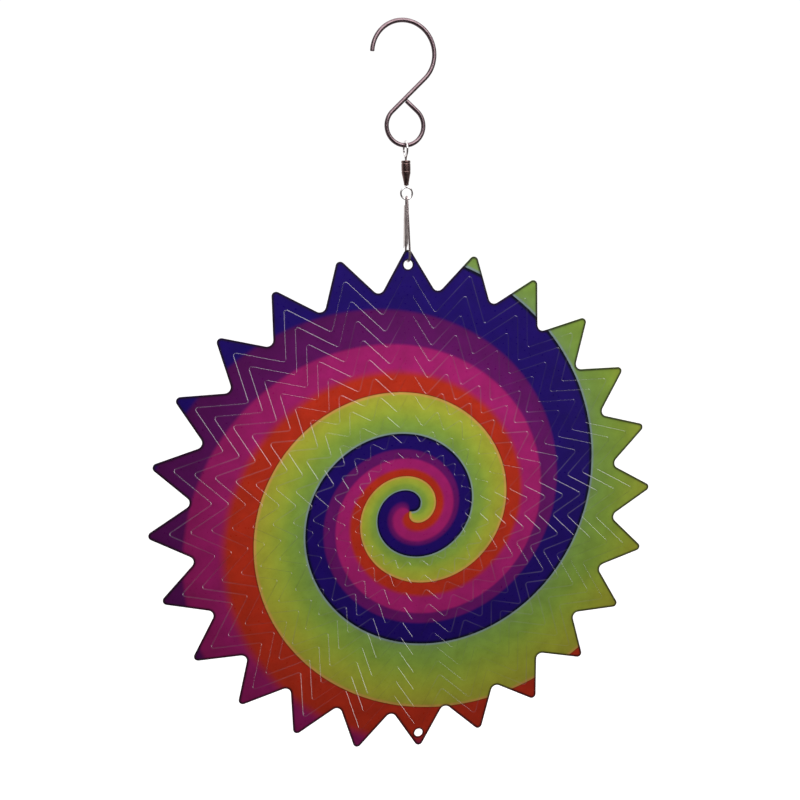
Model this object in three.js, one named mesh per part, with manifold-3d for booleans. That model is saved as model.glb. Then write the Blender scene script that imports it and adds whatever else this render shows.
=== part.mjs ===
// Kinetic wind spinner: a star-toothed steel sheet cut into concentric rings,
// hung from an S-hook by a ball-bearing swivel and a snap.
// Millimetres, +Z up, +Y away from the printed front. The origin is the seat:
// the inside top of the S-hook, where the spinner hangs.

import * as THREE from 'three';
import { mergeVertices } from 'three/addons/utils/BufferGeometryUtils.js';
import Module from 'manifold-3d';

const wasm = await Module();
wasm.setup();

// ---------------------------------------------------------------- sizes

// Clearance left where two links touch, and where a wire sits in a fold.
const LINK_GAP = 0.3;
const FOLD_GAP = 0.2;

// S-hook, bent from round wire.
const HOOK_WIRE = 2.4;
const HOOK_UPPER_R = 17;
const HOOK_LOWER_R = 10.2;
const HOOK_CENTRES = 36.9;
const HOOK_TIP_ANGLE = 176;
const HOOK_END_GAP = 0.4;

// Swivel: upper eye, barrel with bearing balls, lower eye.
const UPPER_EYE_WIRE = 1.2;
const UPPER_EYE_R = 4;
const UPPER_NECK = 1.5;
const BARREL_R = 2.5;
const BARREL_WALL = 0.4;
const BARREL_CAP = 0.5;
const BARREL_STRAIGHT = 6.7;
const BARREL_CONE = 6.5;
const BARREL_CHAMFER = 0.3;
const BALL_COUNT = 6;
const BALL_D = 0.9;
const BALL_PLAY = 0.1;
const HEAD_THICKNESS = 0.8;
const LOWER_EYE_WIRE = 1.1;
const LOWER_EYE_R = 3.2;
const LOWER_NECK = 0.45;
const RETAINER_R = 1.2;
const RETAINER_THICKNESS = 0.8;
const RETAINER_RISE = 4.1;

// Snap: spring wire and folded clasp.
const SNAP_WIRE = 1.1;
const SNAP_LENGTH = 33.7;
const BOW_R = 4.6;
const TAIL_LENGTH = 9.5;
const GATE_TIP_GAP = 0.6;
const CLASP_SHEET = 0.25;
const CLASP_DROP = 3.1;
const CLASP_LENGTH = 23.5;
const CLASP_SLANT = 2.4;
const CLASP_TOP_WIDTH = 2.2;
const CLASP_FOOT_WIDTH = 3.5;
const CLASP_TOP_REACH = 0.7;
const CLASP_FOOT_REACH = 1.5;

// Disc: one sheet, cut by homothetic zigzag slits.
const SHEET = 0.5;
const TOOTH_COUNT = 24;
const TIP_R = 150;
const TIP_FILLET = 2.5;
const VALLEY_FILLET = 3.5;
const TOOTH_HALF_ANGLE = 30.6;
const SLIT_COUNT = 10;
const RIM_WIDTH = 12.6;
const RING_WIDTH = 11.38;
const SLIT_WIDTH = 0.4;
const SLIT_FILLET = 1.4;
const FILLET_SHARE = 0.8;
const NECK_WIDTH = 4.6;
const HOLE_R = 2.6;
const HOLE_INSET = 8.1;

// Facets.
const WIRE_SIDES = 10;
const HOOK_STEPS = 64;
const SNAP_STEPS = 44;
const GATE_STEPS = 4;
const EYE_SEGMENTS = 24;
const LATHE_SEGMENTS = 16;
const BALL_SEGMENTS = 8;
const HOLE_SEGMENTS = 20;
const OUTLINE_CORNER_STEPS = 3;
const SLIT_CORNER_STEPS = 2;

// ------------------------------------------------------- worked-out places

const rad = THREE.MathUtils.degToRad;

const hookUpperZ = -(HOOK_UPPER_R - HOOK_WIRE / 2);
const hookLowerZ = hookUpperZ - HOOK_CENTRES;
const hookBottomZ = hookLowerZ - HOOK_LOWER_R;

const upperEyeTopZ = hookBottomZ + HOOK_WIRE / 2 + LINK_GAP + UPPER_EYE_WIRE / 2;
const upperEyeZ = upperEyeTopZ - UPPER_EYE_R;
const barrelTopZ = upperEyeZ - UPPER_EYE_R - UPPER_EYE_WIRE / 2 - UPPER_NECK;
const barrelShoulderZ = barrelTopZ - BARREL_STRAIGHT;
const barrelFootZ = barrelShoulderZ - BARREL_CONE;
const upperStemR = UPPER_EYE_WIRE / 2;
const barrelBoreR = BARREL_R - BARREL_WALL;
const ballRingZ = barrelTopZ - BARREL_CAP - BALL_PLAY - BALL_D / 2;
const ballRingR = (upperStemR + barrelBoreR) / 2;
const headTopZ = ballRingZ - BALL_D / 2 - BALL_PLAY;
const headR = barrelBoreR - LINK_GAP;

const lowerStemR = LOWER_EYE_WIRE / 2;
const lowerEyeZ = barrelFootZ - LOWER_NECK - lowerStemR - LOWER_EYE_R;
const snapPivotZ = lowerEyeZ - LOWER_EYE_R;

const snapBendR = lowerStemR + LINK_GAP + SNAP_WIRE / 2;
const bowBottomZ = snapPivotZ - SNAP_LENGTH;
const bowZ = bowBottomZ + BOW_R;
const legTilt = Math.asin((BOW_R - snapBendR) / (snapPivotZ - bowZ));

const tipHalf = rad(TOOTH_HALF_ANGLE);
const sharpTipR = TIP_R + TIP_FILLET * (1 / Math.sin(tipHalf) - 1);
const holePlaceR = TIP_R - HOLE_INSET;
const discZ = bowBottomZ - (holePlaceR + HOLE_R - LINK_GAP - SNAP_WIRE / 2);

// ---------------------------------------------------------------- helpers

const STEEL = { color: 0xb9bbc0, metalness: 1, roughness: 0.25 };
const DARK_STEEL = { color: 0x5a4e50, metalness: 1, roughness: 0.35 };
const PRINT = [0x2a1070, 0x7a1a70, 0xa52a72, 0xb4361c, 0xa0a83a, 0x78a040];

function mesh(name, geometry, look) {
  const piece = new THREE.Mesh(geometry, new THREE.MeshStandardMaterial(look));
  piece.name = name;
  return piece;
}

function circleShape(radius, sides) {
  const points = [];
  for (let i = 0; i < sides; i += 1) {
    const a = (2 * Math.PI * i) / sides;
    points.push(new THREE.Vector2(radius * Math.cos(a), radius * Math.sin(a)));
  }
  return new THREE.Shape(points);
}

function wireAlong(path, diameter, steps) {
  return new THREE.ExtrudeGeometry(circleShape(diameter / 2, WIRE_SIDES), {
    steps, extrudePath: path, curveSegments: WIRE_SIDES,
  });
}

// A point on a circle, in degrees from the first axis.
function onCircle(u, v, radius, degrees) {
  const a = rad(degrees);
  return new THREE.Vector2(u + radius * Math.cos(a), v + radius * Math.sin(a));
}

// Flat wire paths, drawn in a plane and placed by a (u, v) to (x, y, z) map.
class PlanePath extends THREE.Curve {
  constructor(points, place) {
    super();
    this.points = points;
    this.place = place;
    this.lengths = [0];
    for (let i = 1; i < points.length; i += 1) {
      this.lengths.push(this.lengths[i - 1] + points[i].distanceTo(points[i - 1]));
    }
  }

  getPoint(t) {
    const target = t * this.lengths[this.lengths.length - 1];
    let i = 1;
    while (i < this.points.length - 1 && this.lengths[i] < target) {
      i += 1;
    }
    const part = (target - this.lengths[i - 1]) / (this.lengths[i] - this.lengths[i - 1]);
    return this.place(this.points[i - 1].clone().lerp(this.points[i], part));
  }
}

const inXZ = (p) => new THREE.Vector3(p.x, 0, p.y);
const inYZ = (p) => new THREE.Vector3(0, p.x, p.y);

// Points of an arc about (u, v), from one angle to another, in degrees.
function arc(u, v, radius, from, to) {
  const count = Math.max(2, Math.ceil(Math.abs(to - from) / 2));
  const points = [];
  for (let i = 0; i <= count; i += 1) {
    points.push(onCircle(u, v, radius, from + ((to - from) * i) / count));
  }
  return points;
}

function solid(geometry) {
  const bare = geometry.clone();
  bare.deleteAttribute('normal');
  bare.deleteAttribute('uv');
  const merged = mergeVertices(bare, 1e-5);
  return new wasm.Manifold(new wasm.Mesh({
    numProp: 3,
    vertProperties: new Float32Array(merged.attributes.position.array),
    triVerts: new Uint32Array(merged.index.array),
  }));
}

function geometryOf(manifold) {
  const out = manifold.getMesh();
  const geometry = new THREE.BufferGeometry();
  geometry.setAttribute('position', new THREE.BufferAttribute(out.vertProperties, 3));
  geometry.setIndex(new THREE.BufferAttribute(out.triVerts, 1));
  geometry.computeVertexNormals();
  return geometry;
}

// A turned piece from (radius, z) pairs.
function turned(profile, segments) {
  const points = profile.map(([r, z]) => new THREE.Vector2(r, z));
  return new THREE.LatheGeometry(points, segments).rotateX(Math.PI / 2);
}

// ---------------------------------------------------------------- S-hook

// Two circles joined by their inner tangent. The lower one closes to a teardrop
// whose end stops just short of the crossing wire.
function makeHook() {
  const slope = Math.asin((HOOK_UPPER_R + HOOK_LOWER_R) / HOOK_CENTRES);
  const slopeDeg = THREE.MathUtils.radToDeg(slope);
  const crossingZ = hookUpperZ - HOOK_UPPER_R / Math.sin(slope);
  const endReach = (HOOK_WIRE / 2 + HOOK_END_GAP) / Math.sin(2 * slope)
    + HOOK_WIRE / 2 / Math.abs(Math.tan(2 * slope)) + HOOK_WIRE / 2;
  const end = new THREE.Vector2(endReach * Math.sin(slope), crossingZ - endReach * Math.cos(slope));
  const path = new PlanePath([
    ...arc(0, hookUpperZ, HOOK_UPPER_R, HOOK_TIP_ANGLE, -slopeDeg),
    ...arc(0, hookLowerZ, HOOK_LOWER_R, 180 - slopeDeg, 360 + slopeDeg),
    end,
  ], inXZ);
  return mesh('s_hook', wireAlong(path, HOOK_WIRE, HOOK_STEPS), STEEL);
}

// ---------------------------------------------------------------- swivel

function eyeRing(radius, wire) {
  return new THREE.TorusGeometry(radius, wire / 2, WIRE_SIDES, EYE_SEGMENTS);
}

// Ring across the hook wire, with a headed stem that hangs the barrel.
function makeUpperEye() {
  const ring = eyeRing(UPPER_EYE_R, UPPER_EYE_WIRE).rotateY(Math.PI / 2).translate(0, 0, upperEyeZ);
  const stem = turned([
    [0, upperEyeZ - UPPER_EYE_R],
    [upperStemR, upperEyeZ - UPPER_EYE_R],
    [upperStemR, headTopZ],
    [headR, headTopZ],
    [headR, headTopZ - HEAD_THICKNESS],
    [0, headTopZ - HEAD_THICKNESS],
  ].reverse(), LATHE_SEGMENTS);
  return mesh('swivel_upper_eye', geometryOf(solid(ring).add(solid(stem))), STEEL);
}

function makeBarrel() {
  const capHoleR = upperStemR + LINK_GAP;
  const footBoreR = lowerStemR + LINK_GAP;
  const profile = [
    [capHoleR, barrelTopZ],
    [capHoleR, barrelTopZ - BARREL_CAP],
    [barrelBoreR, barrelTopZ - BARREL_CAP],
    [barrelBoreR, barrelShoulderZ],
    [footBoreR, barrelFootZ],
    [footBoreR + BARREL_WALL, barrelFootZ],
    [BARREL_R, barrelShoulderZ],
    [BARREL_R, barrelTopZ - BARREL_CHAMFER],
    [BARREL_R - BARREL_CHAMFER, barrelTopZ],
    [capHoleR, barrelTopZ],
  ];
  return mesh('swivel_barrel', turned(profile, LATHE_SEGMENTS), DARK_STEEL);
}

function makeBalls() {
  const balls = [];
  for (let i = 0; i < BALL_COUNT; i += 1) {
    const a = (2 * Math.PI * i) / BALL_COUNT;
    const sphere = new THREE.SphereGeometry(BALL_D / 2, BALL_SEGMENTS, BALL_SEGMENTS - 2);
    const ball = mesh(`bearing_ball_${i + 1}`, sphere, STEEL);
    ball.position.set(ballRingR * Math.cos(a), ballRingR * Math.sin(a), ballRingZ);
    balls.push(ball);
  }
  return balls;
}

// Ring in the plane of the disc, with a stem held in the barrel's cone.
function makeLowerEye() {
  const ring = eyeRing(LOWER_EYE_R, LOWER_EYE_WIRE).rotateX(Math.PI / 2).translate(0, 0, lowerEyeZ);
  const retainerZ = barrelFootZ + RETAINER_RISE;
  const stem = turned([
    [0, lowerEyeZ + LOWER_EYE_R],
    [lowerStemR, lowerEyeZ + LOWER_EYE_R],
    [lowerStemR, retainerZ],
    [RETAINER_R, retainerZ],
    [RETAINER_R, retainerZ + RETAINER_THICKNESS],
    [0, retainerZ + RETAINER_THICKNESS],
  ], LATHE_SEGMENTS);
  return mesh('swivel_lower_eye', geometryOf(solid(ring).add(solid(stem))), STEEL);
}

// ---------------------------------------------------------------- snap

// Centreline of a leg: side is -1 at the front and 1 at the back, and drop is
// the distance below the pivot along Z.
function legY(side, drop) {
  return side * (snapBendR / Math.cos(legTilt) + drop * Math.tan(legTilt));
}

function onLeg(side, drop) {
  return new THREE.Vector2(legY(side, drop), snapPivotZ - drop);
}

const tiltDeg = THREE.MathUtils.radToDeg(legTilt);
const bowEndDrop = snapPivotZ - bowZ - BOW_R * Math.sin(legTilt);
const gateTipDrop = TAIL_LENGTH + GATE_TIP_GAP;

// Tail, bend over the lower eye, front leg and bow, in one wire.
function makeSnapFrame() {
  const path = new PlanePath([
    onLeg(1, TAIL_LENGTH),
    ...arc(0, snapPivotZ, snapBendR, tiltDeg, 180 - tiltDeg),
    ...arc(0, bowZ, BOW_R, 180 - tiltDeg, 360 + tiltDeg),
  ], inYZ);
  return mesh('snap_frame', wireAlong(path, SNAP_WIRE, SNAP_STEPS), STEEL);
}

// Back leg, from the end of the bow to its tip in the clasp.
function makeSnapGate() {
  const foot = onLeg(1, bowEndDrop - LINK_GAP);
  const path = new PlanePath([foot, onLeg(1, gateTipDrop)], inYZ);
  return mesh('snap_gate', wireAlong(path, SNAP_WIRE, GATE_STEPS), STEEL);
}

// Folded sheet, open at the back, that joins the tail and the gate's tip.
function makeClasp() {
  const topBack = legY(1, CLASP_DROP) + CLASP_TOP_REACH;
  const footDrop = CLASP_DROP + CLASP_LENGTH;
  const footBack = legY(1, footDrop) + CLASP_FOOT_REACH;
  const corners = [
    [topBack, CLASP_DROP],
    [topBack - CLASP_TOP_WIDTH, CLASP_DROP],
    [footBack - CLASP_FOOT_WIDTH, footDrop - CLASP_SLANT],
    [footBack, footDrop],
  ];
  const inside = SNAP_WIRE + 2 * FOLD_GAP;
  const outer = plate(corners, inside + 2 * CLASP_SHEET);
  const lean = (corners[2][0] - corners[1][0]) / (corners[2][1] - corners[1][1]);
  const past = 1;
  const far = footBack + past;
  const channel = plate([
    [far, CLASP_DROP - past],
    [corners[1][0] + CLASP_SHEET - past * lean, CLASP_DROP - past],
    [corners[2][0] + CLASP_SHEET + (CLASP_SLANT + past) * lean, footDrop + past],
    [far, footDrop + past],
  ], inside);
  return mesh('snap_clasp', geometryOf(solid(outer).subtract(solid(channel))), DARK_STEEL);
}

// A flat plate across X from corners given as (y, drop below the pivot).
function plate(corners, thickness) {
  const outline = corners.map(([y, drop]) => new THREE.Vector2(y, snapPivotZ - drop));
  const flat = new THREE.ExtrudeGeometry(new THREE.Shape(outline), {
    depth: thickness, bevelEnabled: false,
  });
  return flat.rotateX(Math.PI / 2).rotateZ(Math.PI / 2).translate(-thickness / 2, 0, 0);
}

// ---------------------------------------------------------------- disc

const step = Math.PI / TOOTH_COUNT;
const valleyHalf = tipHalf + step;
const valleyRatio = Math.sin(tipHalf) / Math.sin(valleyHalf);

// Half the slit width, measured along a tooth's centre line.
const slitShift = SLIT_WIDTH / 2 / Math.sin(tipHalf);

function slitTipR(index) {
  return sharpTipR - RIM_WIDTH - RING_WIDTH * index;
}

// The slit's fillet, kept within what its flanks have room for.
function slitFillet(index) {
  const flank = (slitTipR(index) * Math.sin(step)) / Math.sin(valleyHalf);
  const room = flank / (1 / Math.tan(tipHalf) + 1 / Math.tan(valleyHalf));
  return Math.min(SLIT_FILLET, FILLET_SHARE * room);
}

// Height of the neck left uncut at the top and bottom of a slit.
function neckZ(index) {
  return slitTipR(index) - NECK_WIDTH / 2 / Math.tan(tipHalf);
}

// A corner on the ray at a polar angle, rounded by a fillet. half is half the angle
// between its flanks, and sign is 1 at a tip and -1 in a valley.
function corner(cornerR, angle, half, fillet, sign, steps) {
  const centreR = cornerR - (sign * fillet) / Math.sin(half);
  const spread = Math.PI / 2 - half;
  const facing = sign > 0 ? angle : angle + Math.PI;
  const points = [];
  for (let i = 0; i <= steps; i += 1) {
    const a = facing + sign * spread * ((2 * i) / steps - 1);
    const x = centreR * Math.sin(angle) + fillet * Math.sin(a);
    const y = centreR * Math.cos(angle) + fillet * Math.cos(a);
    points.push(new THREE.Vector2(x, y));
  }
  return points;
}

// Zigzag outline, clockwise from the top tooth, as a hole in a shape needs. flatZ cuts the top and bottom
// teeth square where a neck stays.
function starPoints({ tipR, tipFillet, valleyFillet, steps, flatZ }) {
  const points = [];
  for (let i = 0; i < TOOTH_COUNT; i += 1) {
    const tipAngle = 2 * step * i;
    const isNeck = flatZ !== undefined && i % (TOOTH_COUNT / 2) === 0;
    if (isNeck) {
      const up = i === 0 ? 1 : -1;
      const x = (tipR - flatZ) * Math.tan(tipHalf);
      points.push(new THREE.Vector2(-up * x, up * flatZ));
      points.push(new THREE.Vector2(up * x, up * flatZ));
    } else {
      points.push(...corner(tipR, tipAngle, tipHalf, tipFillet, 1, steps));
    }
    points.push(...corner(tipR * valleyRatio, tipAngle + step, valleyHalf, valleyFillet, -1, steps));
  }
  return points;
}

// The edge of a slit on its outer side (side 1) or inner side (side -1).
function slitEdge(index, side) {
  return starPoints({
    tipR: slitTipR(index) + side * slitShift,
    tipFillet: slitFillet(index) + (side * SLIT_WIDTH) / 2,
    valleyFillet: slitFillet(index) - (side * SLIT_WIDTH) / 2,
    steps: SLIT_CORNER_STEPS,
    flatZ: neckZ(index) + (side * SLIT_WIDTH) / 2,
  });
}

function outlineEdge() {
  return starPoints({
    tipR: sharpTipR,
    tipFillet: TIP_FILLET,
    valleyFillet: VALLEY_FILLET,
    steps: OUTLINE_CORNER_STEPS,
  });
}

function hole(place) {
  const points = circleShape(HOLE_R, HOLE_SEGMENTS).getPoints();
  return new THREE.Path(points.map((p) => new THREE.Vector2(p.x, p.y + place)));
}

function sheetGeometry(shape) {
  const flat = new THREE.ExtrudeGeometry(shape, { depth: SHEET, bevelEnabled: false });
  return flat.rotateX(Math.PI / 2).translate(0, SHEET / 2, 0);
}

// Ring 0 is the outermost. Each ring runs from one slit to the next.
function makeRing(index) {
  const outer = index === 0 ? outlineEdge() : slitEdge(index - 1, -1);
  const shape = new THREE.Shape(outer.reverse());
  shape.holes.push(new THREE.Path(slitEdge(index, 1)));
  if (index === 0) {
    shape.holes.push(hole(holePlaceR), hole(-holePlaceR));
  }
  const name = `disc_ring_${String(index + 1).padStart(2, '0')}`;
  const look = { color: PRINT[index % PRINT.length], metalness: 0.4, roughness: 0.35 };
  return mesh(name, sheetGeometry(shape), look);
}

function makeCentre() {
  const shape = new THREE.Shape(slitEdge(SLIT_COUNT - 1, -1).reverse());
  const look = { color: PRINT[3], metalness: 0.4, roughness: 0.35 };
  return mesh('disc_centre_star', sheetGeometry(shape), look);
}

function makeDisc() {
  const disc = new THREE.Group();
  disc.position.z = discZ;
  for (let i = 0; i < SLIT_COUNT; i += 1) {
    disc.add(makeRing(i));
  }
  disc.add(makeCentre());
  return disc;
}

// ---------------------------------------------------------------- assembly

const spinner = new THREE.Group();
spinner.add(makeHook());
spinner.add(makeUpperEye(), makeBarrel(), ...makeBalls(), makeLowerEye());
spinner.add(makeSnapFrame(), makeClasp(), makeSnapGate());
spinner.add(makeDisc());

export default spinner;
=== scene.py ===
"""Looks of the kinetic wind spinner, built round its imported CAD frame.

Blender is in metres. The functions that make a piece work in millimetres, with +Z up,
+Y away from the printed front, and the origin at the seat of the S-hook.
"""

import math

import bmesh
import bpy
from mathutils import Matrix, Vector


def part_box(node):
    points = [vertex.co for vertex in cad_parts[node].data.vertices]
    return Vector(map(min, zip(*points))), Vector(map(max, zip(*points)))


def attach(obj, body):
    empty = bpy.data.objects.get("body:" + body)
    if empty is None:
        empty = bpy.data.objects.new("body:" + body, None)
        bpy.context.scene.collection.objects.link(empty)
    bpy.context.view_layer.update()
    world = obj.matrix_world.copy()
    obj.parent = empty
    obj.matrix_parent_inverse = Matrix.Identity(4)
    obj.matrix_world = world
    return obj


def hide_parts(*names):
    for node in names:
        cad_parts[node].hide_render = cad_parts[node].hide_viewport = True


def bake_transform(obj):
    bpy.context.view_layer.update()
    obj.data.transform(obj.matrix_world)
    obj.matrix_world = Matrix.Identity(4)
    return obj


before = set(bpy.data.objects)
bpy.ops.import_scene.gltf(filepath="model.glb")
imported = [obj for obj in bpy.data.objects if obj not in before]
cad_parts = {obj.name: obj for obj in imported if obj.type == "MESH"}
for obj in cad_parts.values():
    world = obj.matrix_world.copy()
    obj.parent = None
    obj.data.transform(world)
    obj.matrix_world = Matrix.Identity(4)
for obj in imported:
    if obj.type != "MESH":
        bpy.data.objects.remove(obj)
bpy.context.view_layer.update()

MM = 0.001

# ------------------------------------------------------------------ CAD sizes, mm

HOOK_WIRE = 2.4
HOOK_UPPER_R = 17.0
HOOK_LOWER_R = 10.2
HOOK_CENTRES = 36.9
HOOK_TIP_ANGLE = 176.0
HOOK_END_GAP = 0.12
HOOK_END_ROUND = 0.35

UPPER_EYE_WIRE = 1.2
UPPER_EYE_R = 4.0
BARREL_R = 2.5
BARREL_WALL = 0.4
BARREL_CAP = 0.5
BALL_CLEARANCE = 1.1
HEAD_THICKNESS = 0.8
LOWER_EYE_WIRE = 1.1
LOWER_EYE_R = 3.2
RETAINER_R = 1.2
RETAINER_THICKNESS = 0.8
RETAINER_RISE = 4.1
LINK_GAP = 0.3

SNAP_WIRE = 1.1
SNAP_END_ROUND = 0.2
SNAP_LENGTH = 33.7
BOW_R = 4.6
TAIL_LENGTH = 9.5
GATE_TIP_GAP = 0.6
CLASP_SHEET = 0.25
CLASP_DROP = 3.1
CLASP_LENGTH = 23.5
CLASP_SLANT = 2.4
CLASP_TOP_WIDTH = 2.2
CLASP_FOOT_WIDTH = 3.5
CLASP_TOP_REACH = 0.7
CLASP_FOOT_REACH = 1.5
CLASP_INSIDE = 1.5

SHEET = 0.5
TOOTH_COUNT = 24
TIP_R = 150.0
TIP_FILLET = 2.5
VALLEY_FILLET = 3.5
TIP_HALF = math.radians(30.6)
SLIT_COUNT = 10
RIM_WIDTH = 12.6
RING_WIDTH = 11.38
SLIT_WIDTH = 0.1
SLIT_FILLET = 1.4
FILLET_SHARE = 0.8
NECK_WIDTH = 4.6
HOLE_R = 2.6
HOLE_INSET = 8.1

# ------------------------------------------------------------------ finer than the CAD

EDGE_BEVEL = 0.03
RIM_BAND = 1.7
LIP_BAND = 0.5
HOLE_BAND = 1.2
NECK_REACH = 1.2
NECK_ROWS = 10
NECK_COLUMNS = 6
NECK_TUCK = 0.04
NECK_WAIST = 0.05
SMALLEST_FILLET = 0.05
CORNER_STEPS = 8
HOLE_SIDES = 48
WIRE_SIDES = 28
EYE_SIDES = 24
EYE_STEPS = 72
BALL_COUNT = 6
BALL_SIDES = 32
BALL_STEPS = 16

# Edges sharper than this are shaded sharp, degrees.
SHARP_ANGLE = 35.0
SHEET_SHARP_ANGLE = 20.0

STEP = math.pi / TOOTH_COUNT
VALLEY_HALF = TIP_HALF + STEP
VALLEY_RATIO = math.sin(TIP_HALF) / math.sin(VALLEY_HALF)
SHARP_TIP_R = TIP_R + TIP_FILLET * (1 / math.sin(TIP_HALF) - 1)
SLIT_SHIFT = SLIT_WIDTH / 2 / math.sin(TIP_HALF)
OUTLINE_EDGE = (SHARP_TIP_R, TIP_FILLET, VALLEY_FILLET, None)

# Places read from the frame's own boxes.
DISC_Z = sum(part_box("disc_centre_star")[i].z for i in (0, 1)) / 2 / MM
UPPER_EYE_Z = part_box("swivel_upper_eye")[1].z / MM - UPPER_EYE_R - UPPER_EYE_WIRE / 2
BARREL_TOP_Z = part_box("swivel_barrel")[1].z / MM
BARREL_FOOT_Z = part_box("swivel_barrel")[0].z / MM
LOWER_EYE_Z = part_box("swivel_lower_eye")[0].z / MM + LOWER_EYE_WIRE / 2 + LOWER_EYE_R
SNAP_PIVOT_Z = LOWER_EYE_Z - LOWER_EYE_R


# ------------------------------------------------------------------ camera and stage

CAMERA_PLACE = (-0.1361, -0.5305, -0.09175)
CAMERA_AZIMUTH = math.radians(-13.73)
CAMERA_ELEVATION = math.radians(11.51)
CAMERA_ROLL = math.radians(-1.39)
CAMERA_LENS = 44.2
CAMERA_SENSOR = 36


def place_camera():
    """Puts the camera at the photograph's angle, distance and roll."""
    azimuth, elevation, roll = CAMERA_AZIMUTH, CAMERA_ELEVATION, CAMERA_ROLL
    back = Vector((math.sin(azimuth) * math.cos(elevation),
                   -math.cos(azimuth) * math.cos(elevation),
                   math.sin(elevation)))
    level = Vector((math.cos(azimuth), math.sin(azimuth), 0))
    upright = back.cross(level)
    right = math.cos(roll) * level + math.sin(roll) * upright
    up = math.cos(roll) * upright - math.sin(roll) * level
    data = bpy.data.cameras.new("camera")
    data.sensor_width = CAMERA_SENSOR
    data.lens = CAMERA_LENS
    camera = bpy.data.objects.new("camera", data)
    camera.matrix_world = Matrix.Translation(CAMERA_PLACE) @ Matrix(
        (right, up, back)).transposed().to_4x4()
    bpy.context.scene.collection.objects.link(camera)
    bpy.context.scene.camera = camera


def area_light(name, at, aim, size, power):
    """A white softbox that lights and is reflected, but isn't seen itself."""
    data = bpy.data.lights.new(name, "AREA")
    data.shape = "RECTANGLE"
    data.size, data.size_y = size
    data.energy = power
    light = bpy.data.objects.new(name, data)
    light.location = at
    light.rotation_euler = (Vector(aim) - Vector(at)).to_track_quat("-Z", "Y").to_euler()
    light.visible_camera = False
    bpy.context.scene.collection.objects.link(light)


# ------------------------------------------------------------------ node helpers

def linear(red, green, blue):
    """sRGB bytes as linear colour with alpha."""
    def one(value):
        share = value / 255
        return share / 12.92 if share <= 0.04045 else ((share + 0.055) / 1.055) ** 2.4
    return one(red), one(green), one(blue), 1.0


# Sockets of a Mix node that mixes colours.
MIX_FACTOR, MIX_FIRST, MIX_SECOND, MIX_RESULT = 0, 6, 7, 2


class Nodes:
    """Short calls for the nodes of one material or world."""

    def __init__(self, tree):
        self.tree = tree

    def add(self, kind, **settings):
        node = self.tree.nodes.new(kind)
        for key, value in settings.items():
            setattr(node, key, value)
        return node

    def put(self, socket, value):
        if hasattr(value, "is_output"):
            self.tree.links.new(value, socket)
        else:
            socket.default_value = value

    def math(self, operation, first, second=0.0, third=0.0):
        node = self.add("ShaderNodeMath", operation=operation)
        for socket, value in zip(node.inputs, (first, second, third)):
            self.put(socket, value)
        return node.outputs[0]

    def ramp(self, value, stops):
        node = self.add("ShaderNodeValToRGB")
        elements = node.color_ramp.elements
        for i, (place, colour) in enumerate(stops):
            element = elements[i] if i < 2 else elements.new(place)
            element.position = place
            element.color = colour
        self.put(node.inputs[0], value)
        return node.outputs[0]

    def mix(self, factor, first, second, blend="MIX"):
        node = self.add("ShaderNodeMix", data_type="RGBA", blend_type=blend)
        self.put(node.inputs[MIX_FACTOR], factor)
        self.put(node.inputs[MIX_FIRST], first)
        self.put(node.inputs[MIX_SECOND], second)
        return node.outputs[MIX_RESULT]

    def remap(self, value, low, high, to_low, to_high, smooth=False):
        kind = "SMOOTHSTEP" if smooth else "LINEAR"
        node = self.add("ShaderNodeMapRange", interpolation_type=kind)
        for socket, given in zip(node.inputs, (value, low, high, to_low, to_high)):
            self.put(socket, given)
        return node.outputs[0]

    def noise(self, vector, scale, detail=3.0, roughness=0.5):
        node = self.add("ShaderNodeTexNoise")
        self.put(node.inputs["Vector"], vector)
        self.put(node.inputs["Scale"], scale)
        self.put(node.inputs["Detail"], detail)
        self.put(node.inputs["Roughness"], roughness)
        return node.outputs[0]

    def bump(self, height, strength, distance):
        node = self.add("ShaderNodeBump")
        self.put(node.inputs["Strength"], strength)
        self.put(node.inputs["Distance"], distance)
        self.put(node.inputs["Height"], height)
        return node.outputs[0]


def new_material(name):
    material = bpy.data.materials.new(name)
    material.use_nodes = True
    nodes = Nodes(material.node_tree)
    shader = material.node_tree.nodes["Principled BSDF"]
    return material, nodes, shader


# ------------------------------------------------------------------ materials

# Scales of the fine detail in bare metal, per metre.
DRAWN_LINES = 420.0
TONE_PATCHES = 160.0
GRIME_SPOTS = 1400.0


def metal(name, dark, light, roughness, scratch_stretch, grime=None):
    """Bare metal: tone that wanders between two colours, fine drawn lines, uneven gloss."""
    material, nodes, shader = new_material(name)
    at = nodes.add("ShaderNodeTexCoord").outputs["Object"]
    mapping = nodes.add("ShaderNodeMapping")
    nodes.put(mapping.inputs["Vector"], at)
    mapping.inputs["Scale"].default_value = scratch_stretch
    lines = nodes.noise(mapping.outputs[0], DRAWN_LINES, 2.0, 0.5)
    patches = nodes.noise(at, TONE_PATCHES, 3.0, 0.6)
    tone = nodes.remap(patches, 0.32, 0.68, 0.0, 1.0)
    colour = nodes.mix(tone, linear(*dark), linear(*light))
    if grime:
        spots = nodes.remap(nodes.noise(at, GRIME_SPOTS, 2.0, 0.7), 0.58, 0.72, 0.0, 0.7)
        colour = nodes.mix(spots, colour, linear(*grime))
    nodes.put(shader.inputs["Base Color"], colour)
    shader.inputs["Metallic"].default_value = 1.0
    nodes.put(shader.inputs["Roughness"],
              nodes.remap(lines, 0.3, 0.7, roughness * 0.85, roughness * 1.2))
    nodes.put(shader.inputs["Normal"], nodes.bump(lines, 0.1, 0.00001))
    return material


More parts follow.
